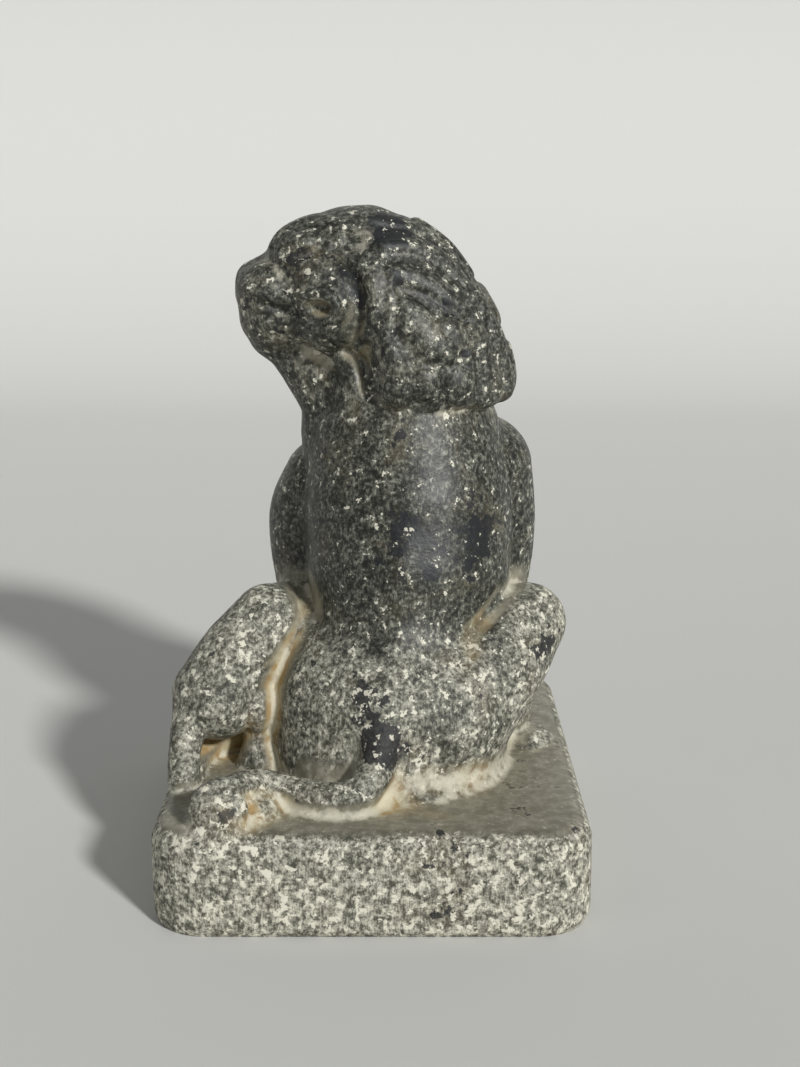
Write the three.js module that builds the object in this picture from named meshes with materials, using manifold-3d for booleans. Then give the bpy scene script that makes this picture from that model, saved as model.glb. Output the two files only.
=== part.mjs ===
// A seated stone lion that looks back over its left shoulder, carved from one block with its plinth.
// Millimetres, +Z up, origin under the middle of the plinth. The body faces +Y, the head faces -X.

import * as THREE from 'three';
import { mergeVertices } from 'three/addons/utils/BufferGeometryUtils.js';
import Module from 'manifold-3d';

const wasm = await Module();
wasm.setup();

// Driving dimensions.
const plinthWidth = 130;
const plinthLength = 160;
const plinthHeight = 31;
const plinthCorner = 17;
const plinthEdge = 6;
const figureHeight = 206;
const bodyX = 9; // the spine's plane, a little right of the plinth's middle
const headY = 5; // the head's own middle plane

const gridStep = 2;
const triangleGoal = 9600;

const minus = (p, q) => [p[0] - q[0], p[1] - q[1], p[2] - q[2]];
const dot = (p, q) => p[0] * q[0] + p[1] * q[1] + p[2] * q[2];
const cross = (p, q) => [p[1] * q[2] - p[2] * q[1], p[2] * q[0] - p[0] * q[2], p[0] * q[1] - p[1] * q[0]];

// Shapes. Each gives the distance to its skin, less than zero inside, and a ball that holds it.

function egg([cx, cy, cz], [rx, ry, rz], turn = [0, 0, 0]) {
  const euler = new THREE.Euler(...turn.map((angle) => THREE.MathUtils.degToRad(angle)));
  const e = new THREE.Matrix4().makeRotationFromEuler(euler).elements;
  return {
    centre: [cx, cy, cz],
    reach: Math.max(rx, ry, rz),
    at(x, y, z) {
      const dx = x - cx;
      const dy = y - cy;
      const dz = z - cz;
      const u = (e[0] * dx + e[1] * dy + e[2] * dz) / rx;
      const v = (e[4] * dx + e[5] * dy + e[6] * dz) / ry;
      const w = (e[8] * dx + e[9] * dy + e[10] * dz) / rz;
      const k0 = Math.sqrt(u * u + v * v + w * w);
      const k1 = Math.sqrt((u / rx) ** 2 + (v / ry) ** 2 + (w / rz) ** 2);
      return k1 > 0 ? (k0 * (k0 - 1)) / k1 : -Math.min(rx, ry, rz);
    },
  };
}

// A smooth path through a few points, each with its own radius, as short straight pieces.
function sweep(points, radii, pieces = 6) {
  const path = new THREE.CatmullRomCurve3(points.map((p) => new THREE.Vector3(...p)), false, 'catmullrom');
  const last = points.length - 1;
  const steps = last * pieces;
  const out = [];
  for (let i = 0; i <= steps; i += 1) {
    const t = (i / steps) * last;
    const k = Math.min(Math.floor(t), last - 1);
    const p = path.getPoint(i / steps);
    out.push([p.x, p.y, p.z, radii[k] + (radii[k + 1] - radii[k]) * (t - k)]);
  }
  return out;
}

// The ball that holds a swept path.
function ballRound(stations) {
  const centre = [0, 1, 2].map((axis) => {
    const values = stations.map((s) => s[axis]);
    return (Math.min(...values) + Math.max(...values)) / 2;
  });
  const far = stations.map((s) => Math.hypot(s[0] - centre[0], s[1] - centre[1], s[2] - centre[2]) + s[3]);
  return { centre, reach: Math.max(...far) };
}

// The nearest piece of a path: the distance to its middle line and the radius there.
function nearest(stations, x, y, z, measure) {
  let best = Infinity;
  for (let i = 1; i < stations.length; i += 1) {
    const a = stations[i - 1];
    const b = stations[i];
    const bx = b[0] - a[0];
    const by = b[1] - a[1];
    const bz = b[2] - a[2];
    const along = (x - a[0]) * bx + (y - a[1]) * by + (z - a[2]) * bz;
    const t = Math.min(Math.max(along / (bx * bx + by * by + bz * bz + 1e-9), 0), 1);
    const gap = Math.hypot(x - a[0] - t * bx, y - a[1] - t * by, z - a[2] - t * bz);
    best = Math.min(best, measure(gap, a[3] + t * (b[3] - a[3])));
  }
  return best;
}

function limb(points, radii) {
  const stations = sweep(points, radii);
  return {
    ...ballRound(stations),
    at: (x, y, z) => nearest(stations, x, y, z, (gap, radius) => gap - radius),
  };
}

// A block with round upright corners and soft edges.
function slab([cx, cy, cz], [width, length, height], corner, edge) {
  return {
    centre: [cx, cy, cz],
    reach: Math.hypot(width, length, height) / 2,
    at(x, y, z) {
      const qx = Math.abs(x - cx) - width / 2 + corner;
      const qy = Math.abs(y - cy) - length / 2 + corner;
      const side = Math.hypot(Math.max(qx, 0), Math.max(qy, 0)) + Math.min(Math.max(qx, qy), 0) - corner + edge;
      const top = Math.abs(z - cz) - height / 2 + edge;
      return Math.hypot(Math.max(side, 0), Math.max(top, 0)) + Math.min(Math.max(side, top), 0) - edge;
    },
  };
}

// Everything on the far side of a plane through a point, as something to carve away.
function beyond([px, py, pz], [nx, ny, nz]) {
  const length = Math.hypot(nx, ny, nz);
  return {
    centre: [px, py, pz],
    reach: Infinity,
    at: (x, y, z) => -((x - px) * nx + (y - py) * ny + (z - pz) * nz) / length,
  };
}

// A raised lock: a soft pillow of the given height that follows a path on the skin.
function pillow(points, radii, height) {
  const stations = sweep(points, radii);
  return {
    ...ballRound(stations),
    at: (x, y, z) => height * Math.sqrt(Math.max(1 - nearest(stations, x, y, z, (gap, r) => (gap / r) ** 2), 0)),
  };
}

// A cut line: a groove of the given depth that follows a path on the skin.
function cut(points, width, depth) {
  const stations = sweep(points, points.map(() => width));
  const ball = ballRound(stations);
  return {
    centre: ball.centre,
    reach: ball.reach + width,
    at: (x, y, z) => -depth * Math.exp(-nearest(stations, x, y, z, (gap, r) => (gap / r) ** 2)),
  };
}

// A lump of clay worked in order: add, carve and raise. blend is the width of the soft seam.
class Clay {
  constructor(centre = [0, 0, 0], reach = Infinity) {
    this.centre = centre;
    this.reach = reach;
    this.steps = [];
  }

  add(shape, blend = 0.01) {
    this.steps.push({ kind: 'add', shape, blend });
  }

  carve(shape, blend = 0.01) {
    this.steps.push({ kind: 'carve', shape, blend });
  }

  raise(shapes) {
    shapes.forEach((shape) => this.steps.push({ kind: 'raise', shape, blend: 0, first: shape === shapes[0] }));
  }

  at(x, y, z) {
    let d = 1e3;
    let lift = 0;
    let floor = 1e3;
    for (const { kind, shape, blend, first } of this.steps) {
      const [cx, cy, cz] = shape.centre;
      const clear = Math.hypot(x - cx, y - cy, z - cz) - shape.reach;
      if (kind === 'add') {
        if (clear < d + blend) {
          const s = shape.at(x, y, z);
          const h = Math.max(blend - Math.abs(d - s), 0) / blend;
          d = Math.min(d, s) - (h * h * blend) / 4;
        }
      } else if (kind === 'carve') {
        if (clear < -d + blend) {
          const s = -shape.at(x, y, z);
          const h = Math.max(blend - Math.abs(d - s), 0) / blend;
          d = Math.max(d, s) + (h * h * blend) / 4;
        }
      } else {
        if (first) {
          floor = d;
          lift = 0;
        }
        if (clear < 0 && Math.abs(floor) < 8) {
          const s = shape.at(x, y, z);
          lift = s < 0 ? lift + s : Math.max(lift, s);
        }
        d = floor - lift;
      }
    }
    return d;
  }
}

// The point where a straight line first meets the clay, for laying a path on its skin.
function meet(clay, [x, y, z], [dx, dy, dz], farthest = 80) {
  let near = 0;
  while (near < farthest && clay.at(x + dx * near, y + dy * near, z + dz * near) > 0.01) {
    near += Math.max(0.4 * clay.at(x + dx * near, y + dy * near, z + dz * near), 0.02);
  }
  return [x + dx * near, y + dy * near, z + dz * near];
}

// A lump as a shape of its own, worked on one side of a plane Y = middle and mirrored to the other.
function mirrored(clay, middle) {
  return { ...clay, at: (x, y, z) => clay.at(x, middle - Math.abs(y - middle), z) };
}

// The head is worked on its left side, which faces -Y, and mirrored. A point on it is given as
// [x from nose to nape, distance out from the head's middle plane, z].
const onHead = ([x, out, z]) => [x, headY - out, z];

// Lays a path on the clay as seen from the side, from behind or from the front.
const fromSide = (clay) => ([x, z]) => meet(clay, [x, -60, z], [0, 1, 0]);
const fromNape = (clay) => ([out, z]) => meet(clay, [80, headY - out, z], [-1, 0, 0]);
const fromFront = (clay) => ([x, z]) => meet(clay, [x, 90, z], [0, -1, 0]);

function maneMass() {
  const mane = new Clay([12, headY, 168], 50);
  const line = [[-5, 0, 178], [3, 0, 174], [9, 0, 164.5], [16, 0, 151]].map(onHead);
  mane.add(limb(line, [27.6, 27.8, 27.2, 27.4]));
  mane.add(egg([9, headY, 161], [29, 31.5, 27]), 6);
  mane.carve(beyond([5, headY, 142], [0.12, 0, -1]), 3);
  return mane;
}

// The locks seen from the side, each a path of [x, z] with its half widths.
const sideLocks = [
  { path: [[9.7, 176.7], [13, 172.2], [17.9, 166.8], [21.6, 163.7]], radii: [3.2, 5.4, 5.8, 4.9], height: 2.6 },
  { path: [[23.4, 169.8], [25.9, 166.8]], radii: [4, 4.2], height: 2.6 },
  { path: [[5.1, 186], [11.2, 185.1], [17.9, 182.4], [23.4, 178.5], [27.7, 174.6]], radii: [3, 3.5, 3.6, 3.5, 3], height: 2.2 },
  { path: [[3.2, 193.9], [12.4, 193.7], [20.4, 190.3], [26.5, 184.2], [30.4, 177]], radii: [2.4, 3.2, 3.4, 3.2, 2.6], height: 2 },
  { path: [[-10, 200.4], [3.2, 201.5], [13, 199], [21.5, 193.5]], radii: [2.6, 3.6, 3.6, 2.6], height: 1.5 },
  { path: [[29, 186.5], [33.4, 178.8], [36, 171]], radii: [2.2, 3, 2.8], height: 2 },
  { path: [[29.3, 169.2], [32.3, 164.9], [34.5, 159.5], [35.1, 153.5], [33.2, 147]], radii: [2, 2.8, 3, 3, 2.6], height: 2.2 },
  { path: [[29, 162], [30, 158.5]], radii: [2.6, 2.6], height: 2 },
  { path: [[26.6, 152.6], [26.9, 151.4]], radii: [5.8, 5.8], height: 2.8 },
  { path: [[16.1, 153.3], [16.1, 152.6]], radii: [5.1, 5.1], height: 2.6 },
  { path: [[4.2, 166.8], [6.3, 161.3], [7.6, 155.9]], radii: [1.8, 3.6, 4], height: 2.4 },
  { path: [[7.4, 150.8], [7.5, 149.8]], radii: [4.8, 4.8], height: 2.6 },
  { path: [[-0.7, 163.1], [0.8, 157.1], [2.6, 150.5], [6.3, 145.6], [13, 144.2]], radii: [1.3, 1.5, 1.5, 1.5, 1.3], height: 1.4 },
  { path: [[-1, 191], [3.6, 184], [4.8, 176], [3.4, 169]], radii: [2.2, 2.8, 2.8, 2.2], height: 1.9 },
];

// The locks seen from behind the head, each a path of [out from the middle, z].
const napeLocks = [
  { path: [[0, 200], [0, 192], [0, 185]], radii: [2.6, 3.8, 3.2], height: 2 },
  { path: [[0, 178], [0, 172]], radii: [4.6, 5.2], height: 2.4 },
  { path: [[9, 191], [8.5, 184], [9.5, 177]], radii: [2.6, 3.6, 3.4], height: 2.2 },
  { path: [[9.5, 169.5], [9, 164]], radii: [4, 4.4], height: 2.4 },
  { path: [[18, 181], [19, 172], [18.5, 163]], radii: [2.6, 3.2, 3], height: 2 },
  { path: [[0, 161], [0, 152], [0, 146]], radii: [3.4, 4.8, 4.2], height: 2.4 },
  { path: [[9.5, 156.5], [9, 149], [8, 143.5]], radii: [3.4, 4, 3.2], height: 2.4 },
  { path: [[17.5, 155], [17.5, 148], [16, 142.5]], radii: [3, 3.8, 3.2], height: 2.4 },
];

function mane() {
  const lump = maneMass();
  const base = maneMass();
  const locks = [
    ...sideLocks.map(({ path, radii, height }) => pillow(path.map(fromSide(base)), radii, height)),
    ...napeLocks.map(({ path, radii, height }) => pillow(path.map(fromNape(base)), radii, height)),
  ];
  lump.raise(locks);
  return lump;
}

function faceMass() {
  const lump = new Clay([-16, headY, 172], 50);
  lump.add(egg(onHead([-7, 0, 181]), [22, 23.5, 24.3]));
  lump.add(egg(onHead([-19.5, 0, 189.5]), [14, 19.5, 11.5]), 4);
  lump.add(egg(onHead([-25, 0, 178.5]), [17.8, 18.5, 8.5]), 3);
  lump.add(egg(onHead([-25, 0, 170.3]), [16.8, 17, 9.8]), 3);
  lump.add(egg(onHead([-12, 15, 176]), [13, 12.5, 14]), 4);
  lump.add(limb([[-28, 0, 186.3], [-33, 0, 184.4], [-38, 0, 181.8]].map(onHead), [4, 5, 5.2]), 2);
  lump.add(egg(onHead([-37, 6.5, 181.2]), [5.2, 4.4, 3.8]), 1.5);
  lump.add(egg(onHead([-32, 0, 163.5]), [6.5, 9.5, 5.5]), 3);
  const beard = [[-24, 0, 163], [-17.5, 0, 154.5], [-11.5, 0, 144], [-9, 0, 132]].map(onHead);
  lump.add(limb(beard, [10.5, 11.5, 12, 14.5]), 3);
  return lump;
}

function face() {
  const lump = faceMass();
  const lay = fromSide(faceMass());
  // The brow, the rim of the cheek and the lip are ridges; the lip curls round the mouth's corner.
  const brow = [[-32, 195], [-28, 199], [-21, 201], [-14, 199.5], [-10.5, 195]];
  const cheekRim = [[-8, 191], [-1.5, 185.2], [1, 178], [-0.5, 170.2], [-4.5, 164]];
  const lip = [[-38.5, 179.4], [-33.6, 178.6], [-26, 176.8], [-20, 178.6], [-15.2, 180], [-11.8, 178.2],
    [-10.4, 175.2], [-12, 172.2], [-15.5, 171.4]];
  lump.raise([
    pillow(brow.map(lay), [1.8, 2.6, 3, 2.8, 2], 1.8),
    pillow(cheekRim.map(lay), [1.8, 2.8, 3.2, 3, 2], 2),
    pillow(lip.map(lay), [1.4, 1.5, 1.5, 1.5, 1.5, 1.5, 1.5, 1.4, 1.2], 1.4),
  ]);
  lump.carve(egg(onHead([-21, 21.5, 193.6]), [8.2, 5.5, 5.6]), 1.5);
  lump.add(egg(onHead([-21.6, 15.8, 193.4]), [6.4, 5.2, 4.6]), 0.6);
  lump.carve(egg(onHead([-17.2, 20.5, 175.4]), [4.6, 4, 2.6]), 1);
  lump.carve(egg(onHead([-41.5, 5.6, 180.6]), [1.8, 1.8, 1.5]), 0.6);
  lump.raise([cut([[-40.5, 176.6], [-35.5, 176], [-30, 174.6], [-24, 174.4], [-19, 175]].map(lay), 1.2, 1.6)]);
  // A lock of the beard hangs from the cheek beside the neck.
  const lock = [[-17, 17.5, 165.5], [-10, 20.5, 160.5], [-7, 20.5, 152.5], [-9.5, 19.5, 144]];
  lump.add(limb(lock.map(onHead), [3.6, 4.2, 3.8, 2.2]), 1.2);
  return lump;
}

function paw(x, y, heading, size) {
  const lump = new Clay([x, y, plinthHeight + 6], 26 * size);
  const c = Math.cos(THREE.MathUtils.degToRad(heading));
  const s = Math.sin(THREE.MathUtils.degToRad(heading));
  const at = (across, ahead, up) => [x + size * (across * c - ahead * s), y + size * (across * s + ahead * c), plinthHeight + size * up];
  lump.add(egg(at(0, 0, 6.5), [10.5 * size, 14 * size, 8.5 * size], [0, 0, heading]));
  for (const across of [-7.8, -2.7, 2.7, 7.8]) {
    const reach = 13.5 - 0.045 * across * across;
    lump.add(limb([at(across * 0.8, 4, 8), at(across, reach - 4, 6.5), at(across * 1.05, reach, 3)], [3, 3.4 * size, 2.8 * size]), 0.8);
  }
  return lump;
}

function foreleg(side) {
  const x = bodyX + side * 28;
  const foot = bodyX + side * 26;
  const leg = new Clay([foot, 34, 78], 75);
  const shoulder = side > 0 ? [bodyX + 24.5, 12, 121] : [bodyX - 22, 13, 114];
  leg.add(limb(
    [shoulder, [x, 15, 104], [x + side * 1, 15, 86], [foot + side * 1, 32, 60], [foot, 44, 43]],
    [18, 16, 13.5, 10, 9],
  ));
  leg.add(egg([x, 6, 84], [9, 10, 10]), 6);
  leg.add(paw(foot, 52, 0, 1), 3);
  return leg;
}

function body() {
  const lump = new Clay([bodyX, 0, 85], 90);
  lump.add(limb([[10, 5, 130], [11, 2, 110], [11, -3, 92], [9, -10, 74]], [31, 33.5, 32.5, 27]));
  lump.add(egg([7.5, -14, 50], [38, 37.5, 31]), 8);
  lump.add(egg([bodyX, 16, 108], [27, 29, 32]), 10);
  lump.add(limb([[bodyX, 22, 86], [bodyX, 20, 60], [bodyX, 18, 34]], [21, 20, 21]), 6);
  lump.add(limb([[8.6, -22, 122], [8.4, -26, 100], [8.2, -28, 82], [8, -34, 64]], [5, 5.6, 6, 5]), 4);
  const lay = fromFront(lump);
  const bib = [];
  for (const [x, top, bottom, width] of [[0, 128, 92, 5], [10, 126, 98, 4.5], [-10, 126, 98, 4.5], [19, 122, 104, 4], [-19, 122, 104, 4]]) {
    const path = [[bodyX + x, top], [bodyX + x * 0.95, (top + bottom) / 2], [bodyX + x * 0.8, bottom]];
    bib.push(pillow(path.map(lay), [width * 0.8, width, width * 0.4], 2.4));
  }
  lump.raise(bib);
  return lump;
}

function rightHindLeg() {
  const leg = new Clay([40, -6, 52], 62);
  leg.add(limb([[20, -24, 52], [36, -16, 63], [49.3, -6, 74]], [24, 18.5, 12.6]));
  leg.add(limb([[49, -4, 72], [45.5, 2, 54], [42, 3, 38]], [11.5, 9.5, 8.5]), 2);
  leg.add(paw(43, 17, 0, 0.85), 2);
  leg.add(egg([50, 2, 31], [8.5, 11, 5]), 2);
  return leg;
}

function leftHindLeg() {
  const leg = new Clay([-38, -16, 56], 66);
  leg.add(limb([[-6, -16, 56], [-18, -8, 66], [-30, -1, 73]], [20, 15.5, 12.5]));
  leg.add(limb([[-33.5, -13, 76.4], [-42, -18, 66], [-49.5, -22, 54.5]], [11.8, 13.4, 14.2]), 0.8);
  leg.add(egg([-35.8, -25, 52], [4.6, 5.5, 9]), 0.8);
  leg.add(limb([[-36, -21, 47], [-36, -21, 38], [-35, -21, 30]], [5, 5.6, 9]), 1);
  leg.add(egg([-29, -16, 46], [7, 9, 14]), 2);
  leg.add(limb([[-57, -28, 50], [-58.3, -36, 41], [-58.3, -40, 33]], [6, 5, 5]), 2);
  leg.add(limb([[-58.3, -38, 32], [-57.5, -22, 33], [-54, -8, 35]], [5, 5.5, 7]), 1);
  leg.add(egg([-51, -6, 38], [8, 8, 10]), 2);
  leg.add(paw(-53, 5, 8, 0.8), 2);
  return leg;
}

function tail() {
  const lump = new Clay([-22, -55, 44], 60);
  const curl = { centre: [-45.5, -61, 37.4], tilt: 40, radius: 5.6, turns: 1.45 };
  const tilt = THREE.MathUtils.degToRad(curl.tilt);
  const points = [[3, -41, 66], [2.5, -48.5, 54], [0, -55, 42], [-7, -59.5, 36], [-16, -59.5, 35.2], [-27, -50.5, 35.4]];
  points.push([-36, -47.5, 37.5]);
  const radii = [3.6, 4.8, 5.4, 5.1, 4.8, 4.6, 4.2];
  for (let i = 0; i <= 12; i += 1) {
    const turn = THREE.MathUtils.degToRad(75) + (i / 12) * curl.turns * 2 * Math.PI;
    const r = curl.radius * (1 - 0.9 * (i / 12));
    points.push([
      curl.centre[0] + r * Math.cos(turn),
      curl.centre[1] + r * Math.sin(turn) * Math.cos(tilt),
      curl.centre[2] + r * Math.sin(turn) * Math.sin(tilt),
    ]);
    radii.push(3.4 - 1.6 * (i / 12));
  }
  lump.add(limb(points, radii));
  lump.add(egg([-46, -59, 31.5], [8, 9, 5]), 1);
  return lump;
}

function carveTheBlock() {
  const stone = new Clay();
  const sunk = 2; // the block is modelled a little too deep, then sawn flat
  const middle = [0, 0, (plinthHeight - sunk) / 2];
  stone.add(slab(middle, [plinthWidth, plinthLength, plinthHeight + sunk], plinthCorner, plinthEdge));
  stone.add(body(), 3);
  stone.add(rightHindLeg(), 3);
  stone.add(leftHindLeg(), 2);
  stone.add(foreleg(-1), 2);
  stone.add(foreleg(1), 2);
  stone.add(tail(), 2);
  const head = new Clay([2, headY, 168], 72);
  head.add(face());
  head.add(mane(), 1);
  stone.add(mirrored(head, headY), 1);
  return stone;
}

// The skin of the clay as triangles: each grid cell is split in six tetrahedra.
function skin(clay, low, high, step) {
  const [nx, ny, nz] = [0, 1, 2].map((axis) => Math.ceil((high[axis] - low[axis]) / step) + 1);
  const field = new Float64Array(nx * ny * nz);
  const place = (i) => [i % nx, Math.floor(i / nx) % ny, Math.floor(i / (nx * ny))].map((k, axis) => low[axis] + k * step);
  const least = 0.04 * step; // keeps the crossings off the grid's corners, so no triangle is tiny
  for (let i = 0; i < field.length; i += 1) {
    const value = clay.at(...place(i));
    field[i] = Math.abs(value) < least ? least * (Math.sign(value) || 1) : value;
  }
  const corners = [0, 1, 1 + nx, nx, nx * ny, 1 + nx * ny, 1 + nx + nx * ny, nx + nx * ny];
  const tetrahedra = [[0, 5, 1, 6], [0, 1, 2, 6], [0, 2, 3, 6], [0, 3, 7, 6], [0, 7, 4, 6], [0, 4, 5, 6]];
  const points = [];
  const faces = [];
  const known = new Map();
  const crossing = (a, b) => {
    const key = Math.min(a, b) * field.length + Math.max(a, b);
    if (!known.has(key)) {
      const t = field[a] / (field[a] - field[b]);
      const from = place(a);
      const to = place(b);
      known.set(key, points.length);
      points.push(from.map((value, axis) => value + t * (to[axis] - value)));
    }
    return known.get(key);
  };
  // A triangle turns its front to the corner outside the clay.
  const addFace = (a, b, c, outside) => {
    const [p, q, r] = [points[a], points[b], points[c]];
    const normal = cross(minus(q, p), minus(r, p));
    faces.push(dot(normal, minus(outside, p)) > 0 ? [a, b, c] : [a, c, b]);
  };
  const addCell = (first) => {
    for (const four of tetrahedra) {
      const ends = four.map((k) => first + corners[k]);
      const inner = ends.filter((k) => field[k] < 0);
      const outer = ends.filter((k) => field[k] >= 0);
      if (inner.length === 2) {
        const outside = place(outer[0]);
        const ring = [[0, 0], [0, 1], [1, 1], [1, 0]].map(([i, o]) => crossing(inner[i], outer[o]));
        addFace(ring[0], ring[1], ring[2], outside);
        addFace(ring[0], ring[2], ring[3], outside);
      } else if (inner.length === 1) {
        addFace(...outer.map((o) => crossing(inner[0], o)), place(outer[0]));
      } else if (inner.length === 3) {
        addFace(...inner.map((i) => crossing(i, outer[0])), place(outer[0]));
      }
    }
  };
  for (let c = 0; c < nz - 1; c += 1) {
    for (let b = 0; b < ny - 1; b += 1) {
      for (let a = 0; a < nx - 1; a += 1) {
        addCell(a + b * nx + c * nx * ny);
      }
    }
  }
  return { points, faces };
}

// Saws off all that lies below Z = 0, so that the underside is one flat plane.
function sawFlat({ points, faces }) {
  const mesh = new wasm.Mesh({
    numProp: 3,
    vertProperties: new Float32Array(points.flat()),
    triVerts: new Uint32Array(faces.flat()),
  });
  const depth = 20;
  const box = new THREE.BoxGeometry(2 * plinthWidth, 2 * plinthLength, depth).translate(0, 0, -depth / 2);
  box.deleteAttribute('normal');
  box.deleteAttribute('uv');
  const merged = mergeVertices(box);
  const saw = new wasm.Mesh({
    numProp: 3,
    vertProperties: new Float32Array(merged.attributes.position.array),
    triVerts: new Uint32Array(merged.index.array),
  });
  const result = new wasm.Manifold(mesh).subtract(new wasm.Manifold(saw)).getMesh();
  const count = result.vertProperties.length / result.numProp;
  const at = (i) => Array.from(result.vertProperties.slice(i * result.numProp, i * result.numProp + 3));
  const triangles = Array.from({ length: result.triVerts.length / 3 }, (_, i) => [0, 1, 2].map((k) => result.triVerts[3 * i + k]));
  return { points: Array.from({ length: count }, (_, i) => at(i)), faces: triangles };
}

// Sums of squared distances to planes, kept as the upper half of a 4 by 4 matrix.
function planeSum([nx, ny, nz], offset, weight) {
  const v = [nx, ny, nz, offset];
  const out = [];
  for (let i = 0; i < 4; i += 1) {
    for (let k = i; k < 4; k += 1) out.push(weight * v[i] * v[k]);
  }
  return out;
}

function planeError(q, [x, y, z]) {
  const xPart = q[0] * x * x + 2 * (q[1] * x * y + q[2] * x * z + q[3] * x);
  const yPart = q[4] * y * y + 2 * (q[5] * y * z + q[6] * y);
  return xPart + yPart + q[7] * z * z + 2 * q[8] * z + q[9];
}

// The point nearest to all the planes of a sum, or the best of a few given points.
function bestPoint(q, choices) {
  const rows = new THREE.Matrix3(q[0], q[1], q[2], q[1], q[4], q[5], q[2], q[5], q[7]);
  const size = q[0] + q[4] + q[7];
  if (rows.determinant() > 1e-4 * size ** 3) {
    const v = new THREE.Vector3(-q[3], -q[6], -q[8]).applyMatrix3(rows.invert());
    return [v.x, v.y, v.z];
  }
  return choices.reduce((best, p) => (planeError(q, p) < planeError(q, best) ? p : best));
}

// A queue that hands out its cheapest entry first.
class Queue {
  constructor() {
    this.heap = [];
  }

  push(entry) {
    const { heap } = this;
    let i = heap.push(entry) - 1;
    while (i > 0) {
      const up = (i - 1) >> 1;
      if (heap[up].cost <= heap[i].cost) break;
      [heap[up], heap[i]] = [heap[i], heap[up]];
      i = up;
    }
  }

  pop() {
    const { heap } = this;
    const top = heap[0];
    const last = heap.pop();
    if (heap.length > 0) {
      heap[0] = last;
      let i = 0;
      for (;;) {
        const left = 2 * i + 1;
        const right = left + 1;
        let least = i;
        if (left < heap.length && heap[left].cost < heap[least].cost) least = left;
        if (right < heap.length && heap[right].cost < heap[least].cost) least = right;
        if (least === i) break;
        [heap[least], heap[i]] = [heap[i], heap[least]];
        i = least;
      }
    }
    return top;
  }
}

// Folds away the edge whose loss changes the skin least, until few enough triangles are left.
function thinOut({ points, faces }, goal) {
  const around = points.map(() => new Set());
  const sums = points.map(() => new Array(10).fill(0));
  const stamp = points.map(() => 0);
  const alive = faces.map(() => true);
  const normalOf = (face, moved = -1, target = null) => {
    const [p, q, r] = face.map((k) => (k === moved ? target : points[k]));
    return cross(minus(q, p), minus(r, p));
  };
  faces.forEach((face, f) => {
    const normal = normalOf(face);
    const area = Math.sqrt(dot(normal, normal)) + 1e-12;
    const unit = normal.map((value) => value / area);
    const sum = planeSum(unit, -dot(unit, points[face[0]]), area);
    for (const k of face) {
      around[k].add(f);
      sum.forEach((value, i) => { sums[k][i] += value; });
    }
  });
  const neighbours = (k) => {
    const out = new Set();
    for (const f of around[k]) faces[f].forEach((other) => out.add(other));
    out.delete(k);
    return out;
  };
  const queue = new Queue();
  const offer = (a, b) => {
    const sum = sums[a].map((value, i) => value + sums[b][i]);
    const middle = points[a].map((value, axis) => (value + points[b][axis]) / 2);
    const target = bestPoint(sum, [middle, points[a], points[b]]);
    queue.push({ cost: planeError(sum, target), a, b, sum, target, stamps: stamp[a] + stamp[b] });
  };
  const sliver = 1e-3;
  // A move is refused if it turns a triangle over or makes it a sliver.
  const turnsOver = (k, other, target) => {
    for (const f of around[k]) {
      if (faces[f].includes(other)) continue;
      const before = normalOf(faces[f]);
      const after = normalOf(faces[f], k, target);
      const [old, fresh] = [dot(before, before), dot(after, after)];
      if (old > sliver && dot(before, after) < 0.3 * Math.sqrt(old * fresh)) return true;
      if (fresh < sliver && fresh < old) return true;
    }
    return false;
  };
  points.forEach((_, a) => neighbours(a).forEach((b) => { if (a < b) offer(a, b); }));
  let left = faces.length;
  while (left > goal && queue.heap.length > 0) {
    const { a, b, sum, target, stamps } = queue.pop();
    if (stamps !== stamp[a] + stamp[b] || around[a].size === 0 || around[b].size === 0) continue;
    const near = neighbours(b);
    const shared = [...neighbours(a)].filter((k) => near.has(k));
    if (!near.has(a) || shared.length !== 2) continue;
    if (turnsOver(a, b, target) || turnsOver(b, a, target)) continue;
    points[a] = target;
    sums[a] = sum;
    for (const f of around[b]) {
      if (faces[f].includes(a)) {
        faces[f].forEach((k) => { if (k !== b) around[k].delete(f); });
        alive[f] = false;
        left -= 1;
      } else {
        faces[f] = faces[f].map((k) => (k === b ? a : k));
        around[a].add(f);
      }
    }
    around[b].clear();
    stamp[a] += 1;
    stamp[b] += 1;
    neighbours(a).forEach((k) => offer(a, k));
  }
  return { points, faces: faces.filter((_, f) => alive[f]) };
}

function toGeometry({ points, faces }) {
  const geometry = new THREE.BufferGeometry();
  const flat = 0.02;
  const positions = points.map(([x, y, z]) => [x, y, Math.abs(z) < flat ? 0 : z]);
  geometry.setAttribute('position', new THREE.Float32BufferAttribute(positions.flat(), 3));
  geometry.setIndex(faces.flat());
  const merged = mergeVertices(geometry.toNonIndexed(), 1e-4);
  merged.computeVertexNormals();
  return merged;
}

const room = 5;
const low = [-plinthWidth / 2 - room, -plinthLength / 2 - room, -4];
const high = [plinthWidth / 2 + room, plinthLength / 2 + room, figureHeight + room];
const stoneMaterial = new THREE.MeshStandardMaterial({ color: 0x55564c, roughness: 0.6, metalness: 0 });
const lion = new THREE.Mesh(toGeometry(thinOut(sawFlat(skin(carveTheBlock(), low, high, gridStep)), triangleGoal)), stoneMaterial);
lion.name = 'seated_lion_on_plinth';

const model = new THREE.Group();
model.add(lion);

export default model;
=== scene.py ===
# A stone lion that sits on its plinth and looks back over its left shoulder, one carved block.
# The clay below is worked in millimetres and becomes one mesh in metres. Seen in the photograph's
# view the tail and back face the camera (-Y) and the head looks left (-X).

import functools
import math
import bpy
import numpy as np
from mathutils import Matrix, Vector, noise


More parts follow.
